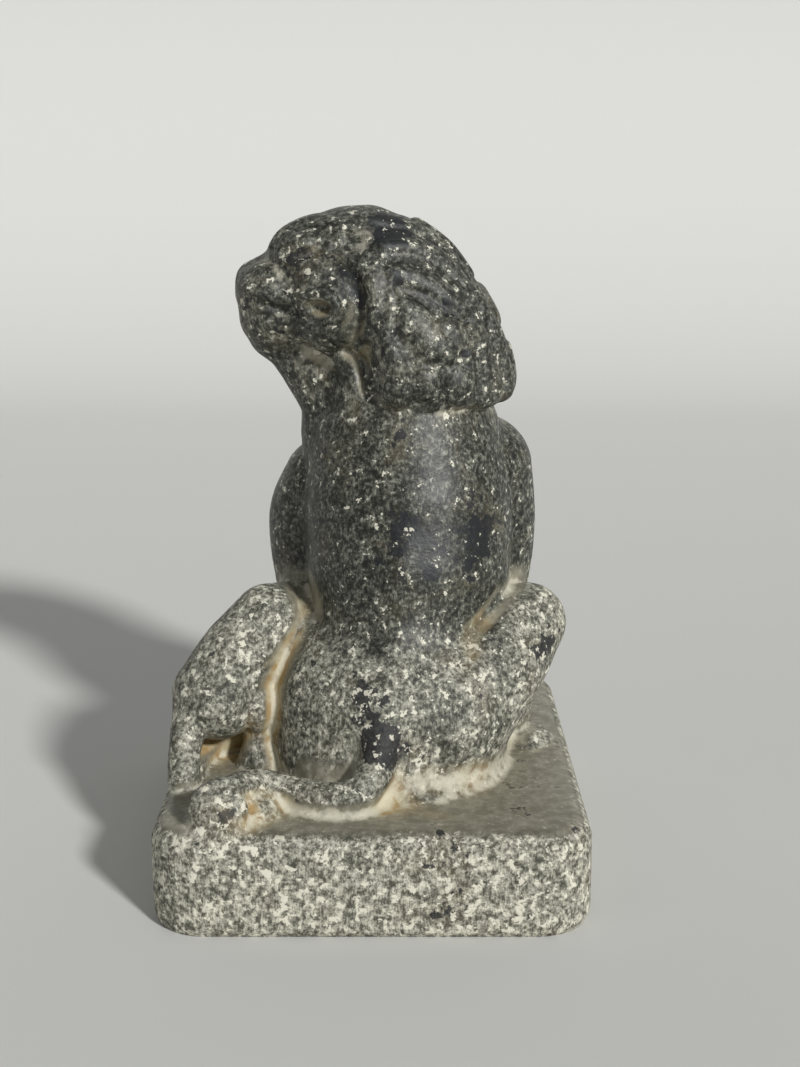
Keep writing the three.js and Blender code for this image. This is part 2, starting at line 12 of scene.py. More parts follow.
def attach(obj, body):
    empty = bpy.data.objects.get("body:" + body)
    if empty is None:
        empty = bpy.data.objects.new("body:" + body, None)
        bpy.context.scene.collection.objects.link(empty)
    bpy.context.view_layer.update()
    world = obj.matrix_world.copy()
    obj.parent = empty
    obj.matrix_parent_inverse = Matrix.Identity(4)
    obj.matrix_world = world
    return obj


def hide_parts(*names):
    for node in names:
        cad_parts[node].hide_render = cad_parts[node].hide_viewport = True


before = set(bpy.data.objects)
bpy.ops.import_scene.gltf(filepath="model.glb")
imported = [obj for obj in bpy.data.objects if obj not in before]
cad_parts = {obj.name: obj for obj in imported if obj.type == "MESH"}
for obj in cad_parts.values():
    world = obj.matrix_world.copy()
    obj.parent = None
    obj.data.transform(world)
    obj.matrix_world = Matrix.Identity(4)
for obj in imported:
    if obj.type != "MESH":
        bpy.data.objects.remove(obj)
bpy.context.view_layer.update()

mm = 0.001
clayStep = 0.8   # grid of the finest clay, mm
mostTriangles = 190000

plinth = dict(width=130, length=160, height=31, corner=17, edge=6)
bodyX = 9     # the spine's plane, a little right of the plinth's middle
headY = 5     # the head's own middle plane
topZ = 206    # top of the mane
endless = 1e6


# The clay: shapes give the distance in mm to their skin, less than zero inside, for an array of points.

class Shape:
    def __init__(self, at, centre, reach):
        self.at, self.centre, self.reach = at, np.array(centre, float), reach


def turned(angles):
    # the turn about X, then Y, then Z of the shape's own axes
    x, y, z = (math.radians(a) for a in angles)
    aboutX = np.array([[1, 0, 0], [0, math.cos(x), -math.sin(x)], [0, math.sin(x), math.cos(x)]])
    aboutY = np.array([[math.cos(y), 0, math.sin(y)], [0, 1, 0], [-math.sin(y), 0, math.cos(y)]])
    aboutZ = np.array([[math.cos(z), -math.sin(z), 0], [math.sin(z), math.cos(z), 0], [0, 0, 1]])
    return aboutX @ aboutY @ aboutZ


def egg(centre, radii, turn=(0, 0, 0)):
    middle, size, axes = np.array(centre, float), np.array(radii, float), turned(turn)

    def at(p):
        q = (p - middle) @ axes / size
        k0 = np.sqrt((q * q).sum(1))
        k1 = np.sqrt(((q / size) ** 2).sum(1)) + 1e-9
        return k0 * (k0 - 1) / k1
    return Shape(at, centre, max(radii))


def sweep(points, radii, pieces=6):
    # a smooth path through a few points, each with its own radius, as short straight pieces
    p = np.array([[*point, radius] for point, radius in zip(points, radii)], float)
    ends = np.vstack([2 * p[0] - p[1], p, 2 * p[-1] - p[-2]])
    out = []
    for k in range(len(p) - 1):
        a, b, c, d = ends[k:k + 4]
        for i in range(pieces):
            t = i / pieces
            out.append(0.5 * (2 * b + (c - a) * t + (2 * a - 5 * b + 4 * c - d) * t ** 2
                              + (3 * b - a - 3 * c + d) * t ** 3))
            out[-1][3] = b[3] + (c[3] - b[3]) * t
    return np.array(out + [p[-1]])


def ballRound(stations):
    low, high = stations[:, :3].min(0), stations[:, :3].max(0)
    middle = (low + high) / 2
    return middle, float((np.sqrt(((stations[:, :3] - middle) ** 2).sum(1)) + stations[:, 3]).max())


def nearest(stations, p, measure):
    # the least of measure(distance to the path's middle line, radius there) over its pieces
    best = np.full(len(p), 1e9)
    for a, b in zip(stations[:-1], stations[1:]):
        line = b[:3] - a[:3]
        t = np.clip((p - a[:3]) @ line / (line @ line + 1e-9), 0, 1)
        gap = np.sqrt(((p - a[:3] - t[:, None] * line) ** 2).sum(1))
        best = np.minimum(best, measure(gap, a[3] + t * (b[3] - a[3])))
    return best


def limb(points, radii):
    stations = sweep(points, radii)
    return Shape(lambda p: nearest(stations, p, lambda gap, r: gap - r), *ballRound(stations))


def slab(centre, size, corner, edge):
    # a block with round upright corners and soft edges
    middle, half = np.array(centre, float), np.array(size, float) / 2

    def at(p):
        q = np.abs(p - middle)
        x, y = q[:, 0] - half[0] + corner, q[:, 1] - half[1] + corner
        side = np.hypot(np.maximum(x, 0), np.maximum(y, 0)) + np.minimum(np.maximum(x, y), 0) - corner + edge
        top = q[:, 2] - half[2] + edge
        return np.hypot(np.maximum(side, 0), np.maximum(top, 0)) + np.minimum(np.maximum(side, top), 0) - edge
    return Shape(at, centre, float(np.sqrt((half ** 2).sum())))


def beyond(point, normal):
    # everything on the far side of a plane, as something to carve away
    n = np.array(normal, float) / math.sqrt(sum(v * v for v in normal))
    return Shape(lambda p: -((p - np.array(point, float)) @ n), point, endless)


def pillow(points, radii, height):
    # a raised lock: a soft ridge of the given height that follows a path on the skin
    stations = sweep(points, radii)

    def at(p):
        return height * np.sqrt(np.maximum(1 - nearest(stations, p, lambda gap, r: (gap / r) ** 2), 0))
    return Shape(at, *ballRound(stations))


def cut(points, width, depth):
    # a groove of the given depth that follows a path on the skin
    stations = sweep(points, [width] * len(points))
    middle, reach = ballRound(stations)

    def at(p):
        return -depth * np.exp(-nearest(stations, p, lambda gap, r: (gap / r) ** 2))
    return Shape(at, middle, reach + width)


class Clay:
    # a lump worked in order; blend is the width of the soft seam
    reliefBand = 8   # relief is worked out only this near to the skin, mm

    def __init__(self, centre=(0, 0, 0), reach=endless):
        self.centre, self.reach, self.steps = np.array(centre, float), reach, []

    def add(self, shape, blend=0.01):
        self.steps.append(('add', shape, blend))

    def carve(self, shape, blend=0.01):
        self.steps.append(('carve', shape, blend))

    def lift(self, shapes):
        self.steps.append(('lift', shapes, 0))

    def at(self, p):
        d = np.full(len(p), 1e3)
        for kind, shape, blend in self.steps:
            if kind == 'lift':
                d = d - self.relief(shape, p, d)
                continue
            clear = np.sqrt(((p - shape.centre) ** 2).sum(1)) - shape.reach
            close = np.flatnonzero(clear < (d if kind == 'add' else -d) + blend)
            if len(close) == 0:
                continue
            sign = 1 if kind == 'add' else -1
            old, new = sign * d[close], shape.at(p[close])
            h = np.maximum(blend - np.abs(old - new), 0) / blend
            d[close] = sign * (np.minimum(old, new) - h * h * blend / 4)
        return d

    def relief(self, shapes, p, d):
        total = np.zeros(len(p))
        band = np.flatnonzero(np.abs(d) < self.reliefBand)
        q = p[band]
        up = np.zeros(len(band))
        for shape in shapes:
            close = np.flatnonzero(((q - shape.centre) ** 2).sum(1) < shape.reach ** 2)
            if len(close) == 0:
                continue
            s = shape.at(q[close])
            up[close] = np.where(s < 0, up[close] + s, np.maximum(up[close], s))
        total[band] = up
        return total


def layOn(clay, points, direction):
    # the points where straight lines first meet the clay, for laying a path on its skin
    mostSteps, caution, touching = 60, 0.6, 0.01   # blended distances run long, so each step falls short
    p = np.array(points, float)
    for _ in range(mostSteps):
        gap = clay.at(p)
        if gap.max() < touching:
            break
        p += np.maximum(caution * gap, 0)[:, None] * np.array(direction, float)
    return p.tolist()


def mirrored(clay, middle):
    def at(p):
        return clay.at(np.stack([p[:, 0], middle - np.abs(p[:, 1] - middle), p[:, 2]], 1))
    return Shape(at, clay.centre, clay.reach)


def bandField(clay, low, size, step):
    # the distances on a fine grid, worked out only near the skin: coarse grids find it first
    far, batch = 1e3, 200000
    known = None
    for factor in (4, 2, 1):
        count = [math.ceil(s / (step * factor)) + 1 for s in size]
        field = np.full(count, far, np.float32)
        if known is None:
            wanted = np.ones(count, bool)
        else:
            near = np.abs(known) < step * factor * 2 * 2.7   # wide enough for the steepest cut
            inside = np.kron(known < 0, np.ones((2, 2, 2), bool))
            wanted = np.kron(near, np.ones((2, 2, 2), bool))
            pad = [(0, max(0, c - s)) for c, s in zip(count, wanted.shape)]
            wanted = np.pad(wanted, pad, mode='edge')[:count[0], :count[1], :count[2]]
            inside = np.pad(inside, pad, mode='edge')[:count[0], :count[1], :count[2]]
            field[inside] = -far
        index = np.argwhere(wanted)
        values = np.empty(len(index), np.float32)
        for start in range(0, len(index), batch):
            part = slice(start, start + batch)
            values[part] = clay.at(np.array(low) + index[part] * step * factor)
        field[tuple(index.T)] = values
        known = field
    return known


def skin(field, low, step):
    # one vertex in each cell that the skin crosses, one four-sided face round each crossed grid edge
    inside = field < 0
    cells = [s - 1 for s in field.shape]
    total = np.zeros((*cells, 3), np.float32)
    count = np.zeros(cells, np.int16)
    corners = [(x, y, z) for x in (0, 1) for y in (0, 1) for z in (0, 1)]

    def at(array, corner):
        return array[tuple(slice(c, c + n) for c, n in zip(corner, cells))]
    for a in corners:
        for axis in range(3):
            if a[axis]:
                continue
            b = tuple(c + (k == axis) for k, c in enumerate(a))
            fa, fb = at(field, a), at(field, b)
            crossed = (fa < 0) != (fb < 0)
            where = np.nonzero(crossed)
            t = fa[where] / (fa[where] - fb[where])
            for k in range(3):
                total[(*where, k)] += a[k] + (t if k == axis else 0)
            count[where] += 1
    used = np.nonzero(count)
    number = np.full(cells, -1, np.int64)
    number[used] = np.arange(len(used[0]))
    points = (np.stack(used, 1) + total[used] / count[used][:, None]) * step + np.array(low)
    faces = []
    for axis in range(3):
        u, v = (axis + 1) % 3, (axis + 2) % 3
        lower = [slice(1, -1)] * 3
        lower[axis] = slice(0, -1)
        upper = list(lower)
        upper[axis] = slice(1, None)
        change = inside[tuple(lower)].astype(np.int8) - inside[tuple(upper)].astype(np.int8)
        for sign in (1, -1):
            where = np.argwhere(change == sign)
            where[:, [u, v]] += 1
            ring = []
            for du, dv in ((-1, -1), (0, -1), (0, 0), (-1, 0)):
                cell = where.copy()
                cell[:, u] += du
                cell[:, v] += dv
                ring.append(number[tuple(cell.T)])
            faces.append(np.stack(ring if sign > 0 else ring[::-1], 1))
    return points, np.vstack(faces)


# The head is worked on its left side, which faces the camera, and mirrored. A point on it is
# [x from nose to nape, distance out from the head's middle plane, z].

# where the lines that lay a path on the clay start, clear of it
outside = dict(left=-60, nape=80, front=90, behind=-120)


def onHead(points):
    return [[x, headY - out, z] for x, out, z in points]


def fromSide(clay, path):
    return layOn(clay, [[x, outside['left'], z] for x, z in path], [0, 1, 0])


def fromNape(clay, path):
    return layOn(clay, [[outside['nape'], headY - out, z] for out, z in path], [-1, 0, 0])


def fromFront(clay, path):
    return layOn(clay, [[x, outside['front'], z] for x, z in path], [0, -1, 0])


def fromBehind(clay, path):
    return layOn(clay, [[x, outside['behind'], z] for x, z in path], [0, 1, 0])


def maneMass():
    mane = Clay([12, headY, 168], 50)
    crest = onHead([[-5, 0, 178], [3, 0, 174], [9, 0, 164.5], [16, 0, 151]])
    mane.add(limb(crest, [27.6, 27.8, 27.2, 27.4]))
    mane.add(egg([10, headY, 161], [28, 31.5, 27]), 6)
    mane.carve(beyond([5, headY, 142], [0.12, 0, -1]), 3)
    mane.carve(beyond([-1, headY, 170], [-1, 0, -0.1]), 6)
    return mane


# the mane's locks seen from the side: path of [x, z], half widths, height
sideLocks = [
    ([[9.7, 176.7], [13, 172.2], [17.9, 166.8], [21.6, 163.7]], [3.2, 5.4, 5.8, 4.9], 2.6),
    ([[23.4, 169.8], [25.9, 166.8]], [4, 4.2], 2.6),
    ([[5.1, 186], [11.2, 185.1], [17.9, 182.4], [23.4, 178.5], [27.7, 174.6]], [3, 3.5, 3.6, 3.5, 3], 2.2),
    ([[3.2, 193.9], [12.4, 193.7], [20.4, 190.3], [26.5, 184.2], [30.4, 177]], [2.4, 3.2, 3.4, 3.2, 2.6], 2),
    ([[-10, 200.4], [3.2, 201.5], [13, 199], [21.5, 193.5]], [2.6, 3.6, 3.6, 2.6], 1.5),
    ([[29, 186.5], [33.4, 178.8], [36, 171]], [2.2, 3, 2.8], 2),
    ([[29.3, 169.2], [32.3, 164.9], [34.5, 159.5], [35.1, 153.5], [33.2, 147]], [2, 2.8, 3, 3, 2.6], 2.2),
    ([[29, 162], [30, 158.5]], [2.6, 2.6], 2),
    ([[26.6, 152.6], [26.9, 151.4]], [5.8, 5.8], 2.8),
    ([[16.1, 153.3], [16.1, 152.6]], [5.1, 5.1], 2.6),
    ([[4.2, 166.8], [6.3, 161.3], [7.6, 155.9]], [1.8, 3.6, 4], 2.4),
    ([[7.4, 150.8], [7.5, 149.8]], [4.8, 4.8], 2.6),
    ([[-0.7, 163.1], [0.8, 157.1], [2.6, 150.5], [6.3, 145.6], [13, 144.2]], [1.3, 1.5, 1.5, 1.5, 1.3], 1.4),
    ([[-1, 191], [3.6, 184], [4.8, 176], [3.4, 169]], [2.2, 2.8, 2.8, 2.2], 1.9),
]
# the locks seen from behind the head: path of [out from the middle, z], half widths, height
napeLocks = [
    ([[0, 200], [0, 192], [0, 185]], [2.6, 3.8, 3.2], 2),
    ([[0, 178], [0, 172]], [4.6, 5.2], 2.4),
    ([[9, 191], [8.5, 184], [9.5, 177]], [2.6, 3.6, 3.4], 2.2),
    ([[9.5, 169.5], [9, 164]], [4, 4.4], 2.4),
    ([[18, 181], [19, 172], [18.5, 163]], [2.6, 3.2, 3], 2),
    ([[0, 161], [0, 152], [0, 146]], [3.4, 4.8, 4.2], 2.4),
    ([[9.5, 156.5], [9, 149], [8, 143.5]], [3.4, 4, 3.2], 2.4),
    ([[17.5, 155], [17.5, 148], [16, 142.5]], [3, 3.8, 3.2], 2.4),
]


def faceMass():
    lump = Clay([-16, headY, 172], 50)
    lump.add(egg([-7, headY, 181], [22, 23.5, 24.3]))
    lump.add(egg([-19.5, headY, 189.5], [14, 19.5, 11.5]), 4)
    lump.add(egg([-25, headY, 178.5], [17.8, 18.5, 8.5]), 3)
    lump.add(egg([-25, headY, 170.3], [16.8, 17, 9.8]), 3)
    lump.add(egg([-12, headY - 15, 176], [13, 12.5, 14]), 4)
    lump.add(limb(onHead([[-32.6, 8, 179], [-32.6, -8, 179]]), [9.6, 9.6]), 4)
    lump.add(limb(onHead([[-31.6, 7, 171], [-31.6, -7, 171]]), [9.5, 9.5]), 3)
    lump.add(limb(onHead([[-27, 0, 186.3], [-32.5, 0, 185.2], [-37.6, 0, 182.8]]), [4, 5.4, 5.6]), 2)
    lump.add(egg([-36.6, headY - 6.5, 182.4], [5.4, 4.6, 4.2]), 1.5)
    lump.add(egg([-32, headY, 163.5], [6.5, 9.5, 5.5]), 3)
    beard = onHead([[-24, 0, 163], [-17.5, 0, 154.5], [-11.5, 0, 144], [-9, 0, 132]])
    lump.add(limb(beard, [10.5, 11.5, 12, 14.5]), 3)
    lump.add(egg([-3, headY, 149], [14.5, 20.5, 21]), 4)
    return lump


def headMass():
    lump = Clay([2, headY, 168], 72)
    lump.add(faceMass())
    lump.add(maneMass(), 3)
    return lump


def makeHead():
    lump, base = headMass(), headMass()

    def lay(path):
        return fromSide(base, path)
    brow = [[-31, 193.4], [-28.5, 197], [-24.6, 199.6], [-20.7, 201], [-16, 201.4], [-12, 199.6], [-10, 196]]
    rim = [[-13, 190.2], [-9.5, 191], [-5.5, 189.6], [-2.4, 187.2], [-0.2, 183.8], [0.6, 179.3], [0.6, 174.2],
           [-0.4, 169.7], [-2, 166.2], [-4.4, 163.4]]
    lip = [[-38.5, 180.2], [-35.6, 180.2], [-32.6, 178.8], [-28.6, 178], [-24.5, 178.2], [-21.5, 179.3],
           [-18.4, 180.4], [-15.4, 180.7], [-12.4, 179.5], [-10.9, 177.3], [-10.8, 174.7], [-12.2, 172.5],
           [-15, 171.7]]
    strand = [[-0.9, 161.1], [0.7, 157.5], [1.9, 153.4], [2.4, 148.8], [3.7, 144.6], [6.6, 142.2], [11, 142]]
    maneEdge = [[-0.5, 190.4], [3.2, 186.5], [4.2, 180], [4.1, 173], [2.6, 166.5], [0.2, 163.5]]
    cheek = [[-11.5, 186.6], [-7.6, 183], [-5.4, 179], [-5, 174.5], [-7.4, 169.5]]
    beardLock = [[-17, 163.8], [-10.8, 160.4], [-6.8, 155.4], [-6, 149.5], [-7.6, 144.5], [-8.8, 141]]
    paleLock = [[-3.6, 160], [-1, 155.5], [-0.2, 150.5], [-0.8, 146], [-4, 142.6]]
    lump.lift(
        [pillow(lay(path), radii, height) for path, radii, height in sideLocks]
        + [pillow(fromNape(base, path), radii, height) for path, radii, height in napeLocks]
        + [cut(lay([[x + k * 1.5, z + 0.5 * k] for x, z in strand]), 0.8, 0.9) for k in (-1, 0, 1)]
        + [
            cut(lay(maneEdge), 1.5, 1.3),
            pillow(lay(brow), [1.8, 2.6, 3, 3, 3, 2.6, 1.8], 1.2),
            pillow(lay(rim), [1.4, 2.2, 2.6, 3, 3.2, 3.2, 3.2, 3, 2.6, 2], 2.4),
            pillow(lay(lip), [1.3] * 2 + [1.5] * 9 + [1.3, 1.1], 1.8),
            cut(lay(cheek), 2.6, 1.6),
            pillow(lay(beardLock), [1.6, 2.8, 3.2, 3.1, 2.6, 1.4], 2.6),
            pillow(lay(paleLock), [1.5, 2.3, 2.5, 2.3, 1.2], 1.3),
        ])
    lump.carve(egg([-20.8, headY - 22, 194.2], [7.6, 5.5, 5]), 1)         # eye socket
    lump.add(egg([-21, headY - 14, 193.8], [5.8, 5, 4.2]), 0.5)           # eyeball
    lump.carve(egg([-17.5, headY - 26.5, 175.6], [6, 4, 2.6]), 1.2)       # corner of the mouth
    lump.carve(egg([-41, headY - 5.2, 181.4], [1.8, 2, 1.4]), 0.6)        # nostril
    lids = [[-28.2, 190.8], [-27.9, 194.4], [-25, 197.4], [-21.7, 199.2], [-18.2, 199.9], [-15.2, 199],
            [-13.2, 196.2], [-13.4, 193], [-15.2, 190.4]]
    lowerLid = [[-28.4, 190.3], [-25.8, 189.3], [-22.8, 188.8], [-19.3, 188.9], [-16.3, 189.4]]
    pupil = fromSide(lump, [[-25, 193.1], [-24.2, 193.1]])
    mouth = [[-36.5, 177.5], [-32.1, 176], [-28.6, 175.2], [-24.6, 174.3], [-21.5, 173.6], [-18, 173.2]]
    wrinkle = [[-28, 181], [-23.5, 180.9], [-18.4, 182.2], [-12.3, 183.8]]
    nostrilWing = [[-39, 185.8], [-37, 184.5], [-35.4, 182.8], [-35.4, 181.6]]
    jaw = [[-32.8, 167.2], [-28.8, 166.4], [-23.2, 166.9], [-17.6, 166.2], [-12.5, 164.8], [-8.5, 163.2],
           [-4.4, 162.4]]
    lump.lift([
        pillow(lay(lids), [1.2] * 9, 1),
        pillow(lay(lowerLid), [1.1] * 5, 0.9),
        cut(pupil, 1.5, 0.9),
        cut(lay(mouth), 1, 1.7),
        cut(lay(wrinkle), 0.9, 0.8),
        cut(lay(nostrilWing), 0.8, 0.8),
        cut(lay(jaw), 1.1, 1),
    ])
    # hairs of the beard, cut from the jaw down the throat
    hairs = [[[-27.7, 166.7], [-24.7, 163.1], [-20.7, 160.6], [-16.7, 158.8], [-12.6, 157.8], [-9.5, 156.5]],
             [[-28.8, 164.1], [-24.8, 161.1], [-21.3, 158], [-17.7, 155.5], [-14.7, 152.9], [-13.4, 150.9]],
             [[-29.8, 162.6], [-25.8, 159.1], [-22.8, 155], [-20.8, 150.9], [-19.3, 147.3], [-18.9, 143.6]]]
    lump.lift([cut(lay([[x + k * 0.6, z - 1.5 * k] for x, z in hair]), 0.7, 0.7 if k == 0 else 0.45)
               for hair in hairs for k in (0, 1)])
    return lump


def paw(x, y, heading, size):
    lump = Clay([x, y, plinth['height'] + 6], 26 * size)
    c, s = math.cos(math.radians(heading)), math.sin(math.radians(heading))

    def at(across, ahead, up):
        return [x + size * (across * c - ahead * s), y + size * (across * s + ahead * c),
                plinth['height'] + size * up]
    lump.add(egg(at(0, 0, 6.5), [10.5 * size, 14 * size, 8.5 * size], [0, 0, heading]))
    for across in (-7.8, -2.7, 2.7, 7.8):
        reach = 13.5 - 0.045 * across * across
        toe = [at(across * 0.8, 4, 8), at(across, reach - 4, 6.5), at(across * 1.05, reach, 3)]
        lump.add(limb(toe, [3, 3.4 * size, 2.8 * size]), 0.8)
    return lump


def foreleg(side):
    x, foot = bodyX + side * 28, bodyX + side * 26
    leg = Clay([foot, 34, 78], 75)
    shoulder = [bodyX + 24.5, 12, 121] if side > 0 else [bodyX - 22, 13, 114]
    leg.add(limb([shoulder, [x, 15, 104], [x + side, 15, 86], [foot + side, 32, 60], [foot, 44, 43]],
                 [18, 16, 13.5, 10, 9]))
    leg.add(egg([x, 6, 84], [9, 10, 10]), 6)
    leg.add(paw(foot, 52, 0, 1), 3)
    return leg


def makeBody():
    lump = Clay([bodyX, 0, 85], 90)
    lump.add(limb([[10, 5, 130], [11, 2, 110], [11, -3, 92], [9, -10, 74]], [31, 33.5, 32.5, 27]))
    lump.add(egg([7.5, -14, 50], [38, 37.5, 31]), 8)
    lump.add(egg([bodyX, 16, 108], [27, 29, 32]), 10)
    lump.add(limb([[bodyX, 22, 86], [bodyX, 20, 60], [bodyX, 18, 34]], [21, 20, 21]), 6)
    lump.add(egg([5, -17.5, 31], [36, 38.5, 7]), 9)
    lump.add(egg([-9, -16, 50], [23.5, 27, 28]), 3)
    lump.add(limb([[-23.5, -17, 64], [-24, -19, 50], [-21, -25, 38], [-10, -37, 36], [4, -40, 38]],
                  [5, 7, 9, 11, 12]), 5)
    ridge = fromBehind(lump, [[8.6, 104], [8.4, 97], [8, 88], [7.8, 79], [7.7, 71]])
    lump.lift([cut(ridge, 5, -0.9), cut(ridge, 1.7, -1.1)])   # a soft ridge, so cuts turned outwards
    bib = []
    for x, top, bottom, width in ((0, 128, 92, 5), (10, 126, 98, 4.5), (-10, 126, 98, 4.5),
                                  (19, 122, 104, 4), (-19, 122, 104, 4)):
        path = [[bodyX + x, top], [bodyX + x * 0.95, (top + bottom) / 2], [bodyX + x * 0.8, bottom]]
        bib.append(pillow(fromFront(lump, path), [width * 0.8, width, width * 0.4], 2.4))
    lump.lift(bib)
    return lump


def rightHindLeg():
    leg = Clay([40, -6, 52], 62)
    leg.add(limb([[20, -24, 52], [36, -16, 63], [49.3, -6, 74]], [24, 18.5, 12.6]))
    leg.add(limb([[49, -4, 72], [45.5, 2, 54], [42, 3, 38]], [11.5, 9.5, 8.5]), 2)
    leg.add(paw(43, 17, 0, 0.85), 2)
    leg.add(egg([50, 2, 31], [8.5, 11, 5]), 2)
    return leg


def leftHindLeg():
    leg = Clay([-38, -16, 56], 66)
    leg.add(limb([[-6, -16, 56], [-18, -8, 66], [-30, -1, 73]], [20, 15.5, 12.5]))
    leg.add(limb([[-33.5, -13, 76.4], [-42, -18, 66], [-49.5, -22, 54.5]], [11.8, 13.4, 14.2]), 0.8)
    leg.add(egg([-36.4, -25, 52], [5.4, 5.5, 9]), 0.8)
    leg.add(limb([[-36, -21, 47], [-36, -21, 38], [-35, -21, 30]], [5, 5.6, 9]), 1)
    leg.add(egg([-29, -16, 46], [7, 9, 14]), 2)
    leg.add(limb([[-57, -28, 50], [-58.3, -36, 41], [-58.3, -40, 33]], [6, 5, 5]), 2)
    leg.add(limb([[-58.3, -38, 32], [-57.5, -22, 33], [-54, -8, 35]], [5, 5.5, 7]), 1)
    leg.add(egg([-50, -7, 40], [10, 9, 12]), 2)
    leg.add(paw(-53, 5, 8, 0.8), 2)
    return leg


tailCurl = dict(face=[-44.2, -74, 38.8], tilt=56, radius=8.8)


def makeTail():
    lump = Clay([-22, -55, 44], 60)
    # the tip lies as a disc with a spiral cut into it; u runs to the right and v up its slope
    tilt, radius = math.radians(tailCurl['tilt']), tailCurl['radius']
    fx, fy, fz = tailCurl['face']

    def onDisc(u, v, out=0):
        return [fx + u, fy + v * math.cos(tilt) - out * math.sin(tilt),
                fz + v * math.sin(tilt) + out * math.cos(tilt)]
    lump.add(limb([[3, -38, 66], [2.8, -46.5, 54], [1, -54.5, 42], [-5, -60, 35.8], [-16, -59.5, 35.2],
                   [-27, -54, 36], [-35, -57, 38.6], onDisc(1, 5, -4.4)], [3.6, 4.8, 5.4, 5.4, 4.9, 4.6, 4.4, 4.2]))
    lump.add(egg(onDisc(0, 0, -4.4), [radius, radius, 4.6], [tailCurl['tilt'], 0, 0]), 1)
    lump.add(limb([onDisc(0, 0, -7), onDisc(0, -1, -12)], [8, 8]), 1)
    lump.add(egg([-35, -60, 32], [8, 9, 5]), 3)
    spiral = [[9.3, 0.5], [7.6, 4], [4.4, 5.9], [0.4, 5.8], [-2.6, 3.6], [-2.6, 0.5], [0, -1.2], [2.8, 0],
              [2.6, 2.4]]
    above = [onDisc(u, v, 8) for u, v in spiral]
    lump.lift([cut(layOn(lump, above, [0, math.sin(tilt), -math.cos(tilt)]), 1.1, 1.9)])
    return lump


def creases(stone):
    # lines where one form meets the next, as seen from behind
    leftKnee = [[-24.6, 84.5], [-23.6, 80.8], [-24.7, 75.4], [-27.9, 70.6], [-32.1, 66.2], [-37.3, 64.6],
                [-43.1, 62.4]]
    knee = [[42.9, 75], [47.1, 76.7], [51.9, 75.6], [55.2, 71.7], [56.9, 66.1], [54.3, 60.5], [51.3, 53.8],
            [47.6, 47], [42.9, 39.1]]
    arc = [[45.3, 74], [48.4, 74.5], [51.1, 72.3], [52.8, 68.5]]
    thigh = [[39.3, 86.3], [34.2, 80.4], [30.1, 75], [28.1, 69.6]]
    elbow = [[45, 108.2], [47.2, 109.6], [49.6, 109.2], [51.5, 106.4]]
    return [
        cut(fromBehind(stone, leftKnee), 1, 0.8),
        cut(fromBehind(stone, knee), 1.2, 0.8),
        cut(fromBehind(stone, arc), 1, 0.5),
        cut(fromBehind(stone, thigh), 2.6, 1.6),
        cut(fromBehind(stone, elbow), 1.1, 1.1),
    ]


def carveTheBlock():
    stone = Clay()
    sunk = 2   # a little too deep, then cut flat
    size = [plinth['width'], plinth['length'], plinth['height'] + sunk]
    stone.add(slab([0, 0, (plinth['height'] - sunk) / 2], size, plinth['corner'], plinth['edge']))
    stone.add(makeBody(), 3)
    stone.add(rightHindLeg(), 3)
    stone.add(leftHindLeg(), 2)
    stone.add(foreleg(-1), 2)
    stone.add(foreleg(1), 2)
    stone.add(makeTail(), 4)
    stone.lift(creases(stone))
    stone.add(mirrored(makeHead(), headY), 1)
    return stone


def makeMesh(clay):
    room = 4
    low = [-plinth['width'] / 2 - room, -plinth['length'] / 2 - room, -room * 0.5]
    size = [plinth['width'] + 2 * room, plinth['length'] + 2 * room, topZ + 2 * room]
    points, faces = skin(bandField(clay, low, size, clayStep), low, clayStep)
    points[:, 2] = np.maximum(points[:, 2], 0)   # the flat underside
    mesh = bpy.data.meshes.new('clay')
    mesh.from_pydata((points * mm).tolist(), [], faces.tolist())
    mesh.validate()
    return thinned(mesh)


def thinned(mesh):
    holder = bpy.data.objects.new('clay', mesh)
    bpy.context.scene.collection.objects.link(holder)
    fewer = holder.modifiers.new('fewer', 'DECIMATE')
    fewer.ratio = min(1, mostTriangles / (2 * len(mesh.polygons)))
    graph = bpy.context.evaluated_depsgraph_get()
    result = bpy.data.meshes.new_from_object(holder.evaluated_get(graph))
    bpy.data.objects.remove(holder)
    result.name = 'lion_and_plinth'
    return result


def pointsAndNormals(mesh):
    points, normals = (np.empty(len(mesh.vertices) * 3, np.float32) for _ in range(2))
    mesh.vertices.foreach_get('co', points)
    mesh.vertices.foreach_get('normal', normals)
    return points.reshape(-1, 3) / mm, normals.reshape(-1, 3).astype(float)


# What lies on the stone, and two spots of painted shade, as soft patches in mm: centre, radii, strength.

crustPatches = [
    ([-50, -18, 44], [13, 14, 15], 1.0),      # the hollow under the left knee
    ([-33, -24, 50], [13, 14, 26], 0.75),     # between the left leg and the haunch
    ([-36, -66, 34], [13, 12, 8], 0.75),      # round the curl of the tail
    ([8, -58, 34], [8, 9, 9], 0.8),           # beside the tail's root
    ([24, -44, 36], [26, 16, 7], 0.55),       # along the foot of the rump
    ([33, -30, 77], [9, 13, 12], 0.7),        # between the back and the right thigh
    ([-26, -20, 78], [8, 12, 14], 0.55),
    ([-47, -28, 46], [15, 12, 8], 0.5),
    ([-60, -34, 42], [8, 14, 14], 0.75),
    ([-16, -12, 197], [6, 7, 6], 0.45),       # corner of the eye
    ([-17, -18, 175], [5, 8, 4], 0.45),       # corner of the mouth
    ([-19, -6, 152], [9, 12, 9], 0.6),        # throat
    ([-4, -18, 165], [9, 9, 7], 0.6),
    ([10, -20, 189], [13, 12, 5], 0.5),
    ([20, -20, 150], [22, 14, 10], 0.35),
]
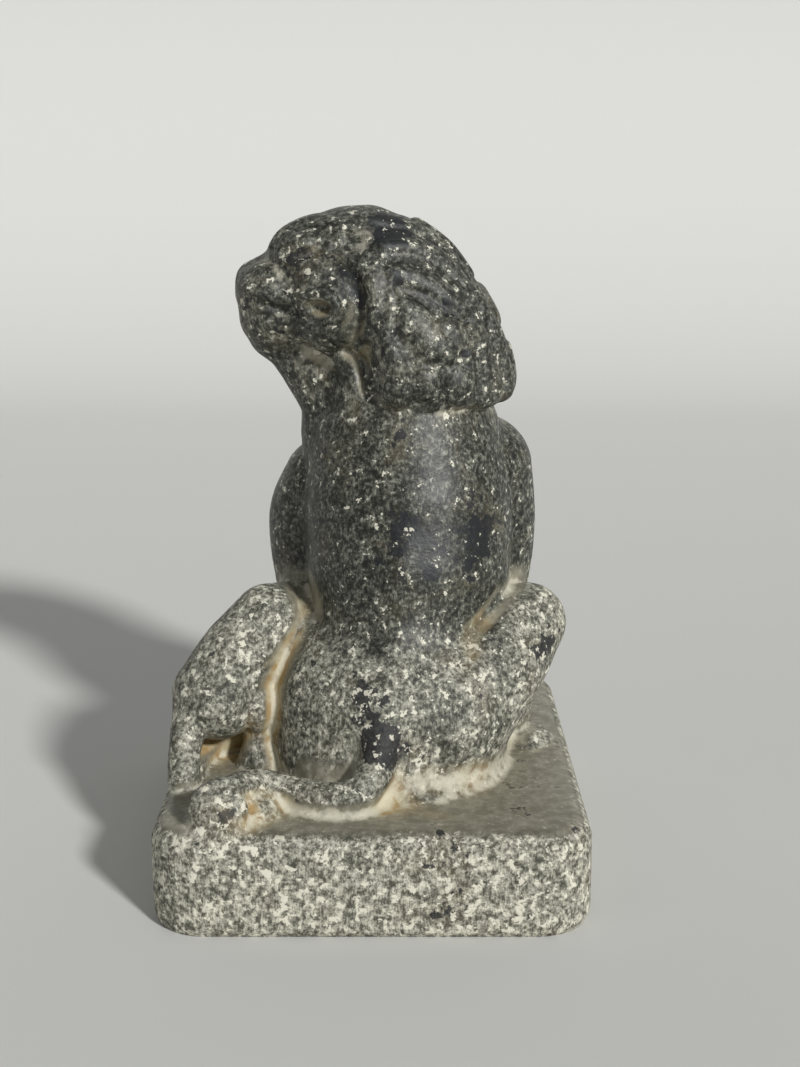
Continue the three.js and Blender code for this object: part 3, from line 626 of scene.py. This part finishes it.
# blue-black stains on the back, head and tail; the last two patches are painted shade, not stains
inkAndShadePatches = [
    ([18.5, -28, 107], [11, 20, 6.5], 1.0), ([10, -28, 111], [5, 20, 5], 0.9),
    ([31, -24, 105], [5, 20, 8], 0.9),
    ([17.5, -28, 100], [4, 20, 5], 0.8), ([4.5, -28, 99], [6, 20, 5], 0.45),
    ([4.5, -10, 198], [6.5, 20, 5.5], 1.0), ([0, -12, 194], [5, 20, 4], 0.6),
    ([-8, -20, 183], [4.5, 12, 4.5], 0.8), ([-6, -20, 177], [4, 12, 7], 0.7), ([-22, -16, 172], [7, 12, 5], 0.55),
    ([7, -20, 186], [6, 14, 4], 0.5), ([24, -18, 177], [5, 14, 5], 0.6), ([31, -18, 159], [4, 14, 5], 0.5),
    ([3.5, -50, 52], [5.5, 16, 9], 0.9), ([-2, -46, 60], [7, 14, 7], 0.5),
    # painted shade: the right part of the plinth's rear face and the outer edge of the right knee
    ([33, -78, 24], [9, 12, 8], 0.6), ([52, -12, 68], [6, 14, 8], 0.7),
]


def patches(points, spots):
    fadeOut = 1.6   # in radii from the centre
    total = np.zeros(len(points))
    for centre, radii, strength in spots:
        gap = np.sqrt((((points - np.array(centre)) / np.array(radii)) ** 2).sum(1))
        total = np.maximum(total, strength * np.clip(fadeOut - gap, 0, 1))
    return total


def step01(value, low, high):
    t = np.clip((value - low) / (high - low), 0, 1)
    return t * t * (3 - 2 * t)


# how far off the skin, in mm, the clay is felt for cuts, for nooks and for shelter; how pecked each part is
wear = dict(groove=1.3, nook=4, shelter=10, haunchPecks=0.75, legPecks=0.8, backPecks=0.26, headPecks=0.12,
            topFilm=0.95, filmHides=0.85, grooveGain=1.5, crustBase=0.35, crustInNooks=1.3)


def wearDirtAndShade(clay, points, normals):
    # how rubbed, pecked, sheltered or stained each point of the skin is, 0 to 1; the dark stain mask also holds two
    # spots of painted shade
    x, y, z = points.T
    groove, nook, shelter = (1 - clay.at(points + wear[name] * normals) / wear[name]
                             for name in ('groove', 'nook', 'shelter'))
    onPlinth = step01(plinth['height'] + 2.5 - z, 0, 2)
    top = onPlinth * step01(normals[:, 2], 0.75, 0.95) * step01(z, plinth['height'] - 5, plinth['height'] - 2)
    low = 1 - step01(z, 64, 98)
    legs = np.maximum(step01(-x, 20, 27), step01(x, 36, 44)) * step01(96 - z, 0, 10)
    upper = wear['backPecks'] + wear['headPecks'] * step01(z, 132, 146)
    pecked = np.maximum(np.maximum(wear['haunchPecks'] * low, wear['legPecks'] * legs), upper)
    pecked = np.maximum(pecked * (1 - onPlinth), onPlinth)
    inFromEdge = step01(plinth['length'] / 2 + 2 - np.abs(y), 2, 10)
    smooth = np.maximum(wear['topFilm'] * top * inFromEdge, step01(shelter, 0.35, 0.75) * (1 - onPlinth))
    crust = patches(points, crustPatches) * (wear['crustBase'] + wear['crustInNooks'] * nook)
    return {
        'groove': np.clip(groove * wear['grooveGain'], 0, 1),
        'pecked': np.clip(pecked * (1 - wear['filmHides'] * smooth), 0, 1),
        'film': np.clip(smooth, 0, 1),
        'crust': np.clip(crust, 0, 1),
        # dark stains, with painted shade on the right knee and the plinth's rear face
        'inkAndShade': patches(points, inkAndShadePatches),
    }


# pecking with a point: shallow pits of two sizes, all in mm
pecking = dict(fine=2.1, coarse=5.5, coarseShare=0.8, relief=0.16, sink=0.1)


def peck(points, normals, pecked):
    # pits a few millimetres apart, deepest on the plinth's sides; the underside stays flat
    strength = pecked * (points[:, 2] > 0.5)
    pits = np.array([noise.noise(Vector(p) / pecking['fine'])
                     + pecking['coarseShare'] * noise.noise(Vector(p) / pecking['coarse']) for p in points])
    points += normals * (pits * strength * pecking['relief'] - pecking['sink'] * strength)[:, None]
    points[:, 2] = np.maximum(points[:, 2], 0)


def srgb(code):
    # a hex colour as linear light
    parts = [int(code[i:i + 2], 16) / 255 for i in (1, 3, 5)]
    return (*[v / 12.92 if v <= 0.04045 else ((v + 0.055) / 1.055) ** 2.4 for v in parts], 1)


def addNode(tree, kind, inputs, **settings):
    made = tree.nodes.new('ShaderNode' + kind)
    for key, value in settings.items():
        setattr(made, key, value)
    for key, value in inputs.items():
        if isinstance(value, bpy.types.Node):
            value = next(s for s in value.outputs if s.enabled)
        if isinstance(value, bpy.types.NodeSocket):
            tree.links.new(value, made.inputs[key])
        else:
            made.inputs[key].default_value = value
    return made


stone = dict(
    # colours of the grains from the darkest to the lightest, and where each lies on the mixed noise
    rubbed=('#14150f', '#2b2c25', '#43453c', '#5b5c52', '#8a8b7f'),
    pecked=('#4d4c40', '#7c7a6e', '#a09e8e', '#bab7a7', '#dedac8'),
    grainStops=(0.4, 0.46, 0.5, 0.54, 0.61),
    brown='#62553a', crystal='#dedac8', film='#a8a390', filmDark='#847f6c',
    # the blue-black on the next line serves the stains and the painted shade on the right knee and the plinth's
    # rear face
    crust='#b2925c', crustPale='#c6b992', chalk='#cdc8b4', inkAndShade='#14161a',
    # size in mm, detail, roughness, distortion and shift of each noise
    noises=dict(cloud=(14, 4, 0.5, 0.4, 0), mottle=(4, 4, 0.6, 0, 7), grain=(1.3, 3, 0.65, 0, 3),
                crystal=(2.6, 3, 0.65, 0, 11)),
    # thin long crystals: width and length in mm, and the turn in degrees and the shift of three lays
    needle=(0.5, 2.2), needleLays=(((0, 35, 20), 1), ((0, -40, -15), 5), ((20, 85, 0), 9)),
    # what each noise adds to salt and pepper, and the sum it starts from
    shares=dict(grain=0.5, crystal=0.25, needles=0.25, mottle=0.25), shareStart=-0.155,
    # amount of noise that frays each edge
    fray=dict(pecking=1.1, inkAndShade=2.2, earth=0.6, chalk=1.1),
    # the field that each coat follows, where it starts, where it is full, and how dense it gets
    coats=dict(pecking=('patchy', 0.8, 1.65, 1), brown=('cloud', 0.5, 0.75, 0.3),
               crystals=('sparkle', 0, 0.03, 0.9), filmTone=('mottle', 0.3, 0.7, 1),
               earthTone=('mottle', 0.35, 0.65, 1), inkAndShade=('inkAndShadeFrayed', 2.62, 2.8, 0.92),
               earth=('earthy', 0.55, 1.25, 0.75), chalk=('chalky', 0.83, 1.27, 0.75)),
    filmDensity=0.72, inkAndShadeStrength=0.85, crystalsThroughInkAndShade=0.9,
    polished=0.36, rough=0.78, ior=1.5, bumpStrength=0.8, bumpHeight=0.6 * mm,
)


def makeStone():
    # Dark limestone with cream crystals: pecked rough on the plinth and haunches, rubbed to a soft
    # sheen on the back and head, with chalk in the cuts and earth in the sheltered places.
    material = bpy.data.materials.new('limestone_pecked_and_rubbed')
    material.use_nodes = True
    tree = material.node_tree
    shader = tree.nodes['Principled BSDF']
    add = functools.partial(addNode, tree)
    place = add('TexCoord', {}).outputs['Object']

    field = {name: add('Attribute', {}, attribute_name=name).outputs['Fac']
             for name in ('pecked', 'groove', 'film', 'crust', 'inkAndShade')}
    for name, (size, detail, roughness, distortion, shift) in stone['noises'].items():
        moved = add('Mapping', {'Vector': place, 'Scale': [1 / (size * mm)] * 3, 'Location': (shift, 0, 0)})
        field[name] = add('TexNoise', {'Vector': moved, 'Scale': 1, 'Detail': detail, 'Roughness': roughness,
                                       'Distortion': distortion})
    short, long = stone['needle']
    field['needles'] = 0
    for turn, shift in stone['needleLays']:
        moved = add('Mapping', {'Vector': place, 'Rotation': [math.radians(a) for a in turn],
                                'Scale': [1 / (s * mm) for s in (short, short, long)],
                                'Location': (shift, 0, 0)})
        lay = add('TexNoise', {'Vector': moved, 'Scale': 1, 'Detail': 1, 'Distortion': 0.2})
        field['needles'] = add('Math', {0: field['needles'], 1: lay}, operation='MAXIMUM')

    # salt and pepper: one mixed noise runs through a dark scale on rubbed skin and a light one on pecked
    salt = stone['shareStart']
    for name, share in stone['shares'].items():
        salt = add('Math', {0: field[name], 1: share, 2: salt}, operation='MULTIPLY_ADD')
    scales = []
    for name in ('rubbed', 'pecked'):
        ramp = add('ValToRGB', {'Fac': salt})
        stops = ramp.color_ramp.elements
        for at, code in zip(stone['grainStops'], stone[name]):
            stop = stops.new(at)
            stop.color = srgb(code)
        stops.remove(stops[-1])
        stops.remove(stops[0])
        scales.append(ramp.outputs['Color'])

    # masks with frayed edges
    fray = stone['fray']
    field['patchy'] = add('Math', {0: field['cloud'], 1: fray['pecking'], 2: field['pecked']},
                          operation='MULTIPLY_ADD')
    field['earthy'] = add('Math', {0: field['cloud'], 1: fray['earth'], 2: field['crust']},
                          operation='MULTIPLY_ADD')
    field['chalky'] = add('Math', {0: field['mottle'], 1: fray['chalk'], 2: field['groove']},
                          operation='MULTIPLY_ADD')
    ragged = add('Math', {0: field['mottle'], 1: field['cloud']})
    # the dark stain mask, which also carries the painted shade on the right knee and the plinth's rear face
    inkAndShadeMask = add('Math', {0: field['inkAndShade'], 1: stone['inkAndShadeStrength']}, operation='MULTIPLY')
    field['inkAndShadeFrayed'] = add('Math', {0: ragged, 1: fray['inkAndShade'], 2: inkAndShadeMask}, operation='MULTIPLY_ADD')
    # fewer crystals show on rubbed skin
    limit = add('MapRange', {'Value': field['patchy'], 'From Min': 0.55, 'From Max': 1.55,
                             'To Min': 0.66, 'To Max': 0.57})
    field['sparkle'] = add('Math', {0: field['crystal'], 1: limit}, operation='SUBTRACT')

    coat = {name: add('MapRange', {'Value': field[follows], 'From Min': low, 'From Max': high, 'To Max': dense},
                      interpolation_type='SMOOTHSTEP')
            for name, (follows, low, high, dense) in stone['coats'].items()}
    filmed = add('Math', {0: field['film'], 1: stone['filmDensity']}, operation='MULTIPLY')
    clear = add('Math', {0: coat['crystals'], 1: -stone['crystalsThroughInkAndShade'], 2: 1}, operation='MULTIPLY_ADD')
    inkedAndShaded = add('Math', {0: coat['inkAndShade'], 1: clear}, operation='MULTIPLY')
    skinGrey = add('Mix', {0: coat['filmTone'], 6: srgb(stone['filmDark']), 7: srgb(stone['film'])},
                   data_type='RGBA').outputs[2]
    earth = add('Mix', {0: coat['earthTone'], 6: srgb(stone['crust']), 7: srgb(stone['crustPale'])},
                data_type='RGBA').outputs[2]

    # from the stone outwards: grains, brown clouds, crystals, grey skin, dark stains and painted shade, earth,
    # chalk
    colour = scales[0]
    for amount, above in (
            (coat['pecking'], scales[1]),
            (coat['brown'], srgb(stone['brown'])),
            (coat['crystals'], srgb(stone['crystal'])),
            (filmed, skinGrey),
            (inkedAndShaded, srgb(stone['inkAndShade'])),
            (coat['earth'], earth),
            (coat['chalk'], srgb(stone['chalk']))):
        colour = add('Mix', {0: amount, 6: colour, 7: above}, data_type='RGBA').outputs[2]
    tree.links.new(colour, shader.inputs['Base Color'])

    # cuts, earth and pecks are dull
    dull = field['pecked']
    for name in ('groove', 'crust'):
        dull = add('Math', {0: dull, 1: field[name]}, operation='MAXIMUM')
    gloss = add('MapRange', {'Value': dull, 'To Min': stone['polished'], 'To Max': stone['rough']})
    tree.links.new(gloss.outputs[0], shader.inputs['Roughness'])
    shader.inputs['IOR'].default_value = stone['ior']

    # the grains stand up a little, least on rubbed skin
    grains = add('Math', {0: field['grain'], 1: 0.6}, operation='MULTIPLY')
    grains = add('Math', {0: field['crystal'], 1: 0.5, 2: grains}, operation='MULTIPLY_ADD')
    share = add('MapRange', {'Value': field['pecked'], 'To Min': 0.25})
    height = add('Math', {0: grains, 1: share}, operation='MULTIPLY')
    bump = add('Bump', {'Height': height, 'Strength': stone['bumpStrength'], 'Distance': stone['bumpHeight']})
    tree.links.new(bump.outputs[0], shader.inputs['Normal'])
    return material


# places in metres
studio = dict(board='#d2d2ce', boardHalf=3, boardFront=-2.5, boardBack=0.9, boardBend=0.5, boardTop=2.5,
              boardRough=0.9, sun=3.0, sunAngle=6, sunFrom=(0.55, -0.8, 0.62), fill=1.2, fillSize=1.2,
              fillFrom=(-1.1, -0.7, 0.8), sky=0.2, skyColour=(0.8, 0.83, 0.86, 1), aim=(0, 0, 0.1))
# the photograph's own view: its focal length over its long side, where it stood and how far it looks down
view = dict(focal=1603 / 1067, film=36, place=(0.0083, -0.504, 0.2185), down=13.05)


def makeFloor():
    # a pale board that sweeps up behind the figure
    back, bend, half, facets = studio['boardBack'], studio['boardBend'], studio['boardHalf'], 15
    angles = [math.radians(90 * k / facets) for k in range(facets + 1)]
    profile = [(studio['boardFront'], 0)]
    profile += [(back + bend * math.sin(a), bend - bend * math.cos(a)) for a in angles]
    profile += [(back + bend, studio['boardTop'])]
    mesh = bpy.data.meshes.new('floor')
    mesh.from_pydata([(x, y, z) for y, z in profile for x in (-half, half)], [],
                     [(2 * k, 2 * k + 1, 2 * k + 3, 2 * k + 2) for k in range(len(profile) - 1)])
    mesh.shade_smooth()
    floor = bpy.data.objects.new('floor', mesh)
    bpy.context.scene.collection.objects.link(floor)
    material = bpy.data.materials.new('matt_pale_board')
    material.use_nodes = True
    shader = material.node_tree.nodes['Principled BSDF']
    shader.inputs['Base Color'].default_value = srgb(studio['board'])
    shader.inputs['Roughness'].default_value = studio['boardRough']
    mesh.materials.append(material)


def addLamp(name, kind, power, place, **settings):
    lamp = bpy.data.lights.new(name, kind)
    lamp.energy = power
    for key, value in settings.items():
        setattr(lamp, key, value)
    holder = bpy.data.objects.new(name, lamp)
    holder.location = place
    holder.rotation_euler = (Vector(studio['aim']) - Vector(place)).to_track_quat('-Z', 'Y').to_euler()
    bpy.context.scene.collection.objects.link(holder)


def makeCamera():
    camera = bpy.data.cameras.new('camera')
    camera.sensor_width = view['film']
    camera.lens = view['film'] * view['focal']
    holder = bpy.data.objects.new('camera', camera)
    holder.location = view['place']
    holder.rotation_euler = (math.radians(90 - view['down']), 0, 0)
    bpy.context.scene.collection.objects.link(holder)
    bpy.context.scene.camera = holder


clay = carveTheBlock()
print("clay worked, now its skin")
lionMesh = makeMesh(clay)
points, normals = pointsAndNormals(lionMesh)
masks = wearDirtAndShade(clay, points, normals)
peck(points, normals, masks['pecked'])
lionMesh.vertices.foreach_set('co', (points * mm).astype(np.float32).ravel())
for name, values in masks.items():
    lionMesh.attributes.new(name, 'FLOAT', 'POINT').data.foreach_set('value', values.astype(np.float32))
lionMesh.shade_smooth()
lionMesh.materials.append(makeStone())
lion = bpy.data.objects.new('lion_and_plinth', lionMesh)
bpy.context.scene.collection.objects.link(lion)
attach(lion, "root")
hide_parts("seated_lion_on_plinth")
print("lion meshed with", len(lionMesh.polygons), "triangles")

makeFloor()
addLamp('key', 'SUN', studio['sun'], studio['sunFrom'], angle=math.radians(studio['sunAngle']))
addLamp('fill', 'AREA', studio['fill'], studio['fillFrom'], size=studio['fillSize'])
world = bpy.data.worlds.new('studio')
world.use_nodes = True
world.node_tree.nodes['Background'].inputs['Color'].default_value = studio['skyColour']
world.node_tree.nodes['Background'].inputs['Strength'].default_value = studio['sky']
bpy.context.scene.world = world
bpy.context.scene.view_settings.view_transform = 'Standard'
makeCamera()
